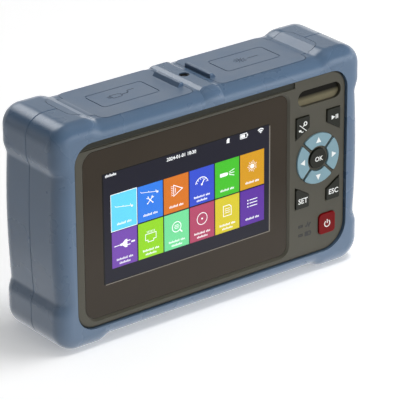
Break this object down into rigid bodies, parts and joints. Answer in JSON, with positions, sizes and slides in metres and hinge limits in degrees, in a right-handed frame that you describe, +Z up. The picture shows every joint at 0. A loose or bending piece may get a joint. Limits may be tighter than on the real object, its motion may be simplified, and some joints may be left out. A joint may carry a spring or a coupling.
{
  "type": "optical time domain reflectometer",
  "caption": "Handheld reflectometer with bumpered corners, touch display, keypad, two rubber socket flaps on top and a folding stand behind.",
  "frame": {"origin": "bottom centre of the whole instrument, on the surface it stands on", "axes": "+Z up, the display faces -Y, +X to the right seen from the display"},
  "size_m": [0.1764, 0.0468, 0.1101],
  "materials": {
    "case_blue": "fine textured satin moulding",
    "flap_rubber": "matt moulded rubber",
    "bezel_grey": "satin moulding",
    "badge_plate": "bare lacquered plate",
    "lens_clear": "clear moulding",
    "board_green": "solder resist",
    "sheet_steel": "stamped and plated",
    "foam_black": "foam",
    "touch_glass": "polished cover glass with a printed border",
    "display_black": "display module",
    "chip_black": "moulded packages",
    "optics_metal": "machined housing",
    "tray_black": "moulding",
    "socket_black": "moulding",
    "port_nickel": "nickel plate",
    "battery_wrap": "shrink wrap",
    "screw_steel": "blackened steel",
    "key_dark": "silicone key",
    "key_light": "silicone key",
    "key_red": "silicone key"
  },
  "bodies": {
    "housing": {"front_shell": "case_blue", "rear_shell": "case_blue", "front_bezel": "bezel_grey", "badge_plate": "badge_plate", "indicator_lenses": "lens_clear", "key_board": "board_green", "key_switches": "sheet_steel", "bezel_gasket": "foam_black", "touch_glass": "touch_glass", "display_panel": "display_black", "display_cushion": "foam_black", "display_frame": "sheet_steel", "main_board": "board_green", "processor_shield": "sheet_steel", "board_chips": "chip_black", "sounder": "chip_black", "optical_module": "optics_metal", "data_socket_tray": "tray_black", "optic_socket_tray": "tray_black", "network_jack_near": "socket_black", "network_jack_far": "socket_black", "charge_socket": "sheet_steel", "reflectometer_port": "port_nickel", "power_meter_port": "port_nickel", "fault_locator_port": "port_nickel", "torch_lens": "lens_clear", "torch_board": "board_green", "battery_pack": "battery_wrap", "battery_cover": "case_blue", "cover_screws": "screw_steel", "case_screws": "screw_steel", "stand_pin": "screw_steel", "left_flap_tongue": "flap_rubber", "right_flap_tongue": "flap_rubber"},
    "left_flap": {"left_flap": "flap_rubber"},
    "right_flap": {"right_flap": "flap_rubber"},
    "tilt_stand": {"tilt_stand": "case_blue"},
    "tool_key": {"tool_key": "key_dark"},
    "run_key": {"run_key": "key_dark"},
    "set_key": {"set_key": "key_dark"},
    "escape_key": {"escape_key": "key_dark"},
    "up_key": {"up_key": "key_light"},
    "right_key": {"right_key": "key_light"},
    "down_key": {"down_key": "key_light"},
    "left_key": {"left_key": "key_light"},
    "enter_key": {"enter_key": "key_dark"},
    "power_key": {"power_key": "key_red"}
  },
  "joints": [
    {"name": "left_flap_hinge", "type": "hinge", "parent": "housing", "child": "left_flap", "pos_m": [-0.061, 0, 0.1073], "axis": [0, -1, 0], "range_deg": [0, 110]},
    {"name": "right_flap_hinge", "type": "hinge", "parent": "housing", "child": "right_flap", "pos_m": [0.061, 0, 0.1073], "axis": [0, 1, 0], "range_deg": [0, 110]},
    {"name": "stand_hinge", "type": "hinge", "parent": "housing", "child": "tilt_stand", "pos_m": [0, 0.0214, 0.087], "axis": [1, 0, 0], "range_deg": [0, 60]},
    {"name": "tool_key_press", "type": "slide", "parent": "housing", "child": "tool_key", "axis": [0, 1, 0], "range_m": [0, 0.0008], "stiffness_N_per_m": 500},
    {"name": "run_key_press", "type": "slide", "parent": "housing", "child": "run_key", "axis": [0, 1, 0], "range_m": [0, 0.0008], "stiffness_N_per_m": 500},
    {"name": "set_key_press", "type": "slide", "parent": "housing", "child": "set_key", "axis": [0, 1, 0], "range_m": [0, 0.0008], "stiffness_N_per_m": 500},
    {"name": "escape_key_press", "type": "slide", "parent": "housing", "child": "escape_key", "axis": [0, 1, 0], "range_m": [0, 0.0008], "stiffness_N_per_m": 500},
    {"name": "up_key_press", "type": "slide", "parent": "housing", "child": "up_key", "axis": [0, 1, 0], "range_m": [0, 0.0008], "stiffness_N_per_m": 500},
    {"name": "right_key_press", "type": "slide", "parent": "housing", "child": "right_key", "axis": [0, 1, 0], "range_m": [0, 0.0008], "stiffness_N_per_m": 500},
    {"name": "down_key_press", "type": "slide", "parent": "housing", "child": "down_key", "axis": [0, 1, 0], "range_m": [0, 0.0008], "stiffness_N_per_m": 500},
    {"name": "left_key_press", "type": "slide", "parent": "housing", "child": "left_key", "axis": [0, 1, 0], "range_m": [0, 0.0008], "stiffness_N_per_m": 500},
    {"name": "enter_key_press", "type": "slide", "parent": "housing", "child": "enter_key", "axis": [0, 1, 0], "range_m": [0, 0.0008], "stiffness_N_per_m": 500},
    {"name": "power_key_press", "type": "slide", "parent": "housing", "child": "power_key", "axis": [0, 1, 0], "range_m": [0, 0.0008], "stiffness_N_per_m": 500}
  ]
}
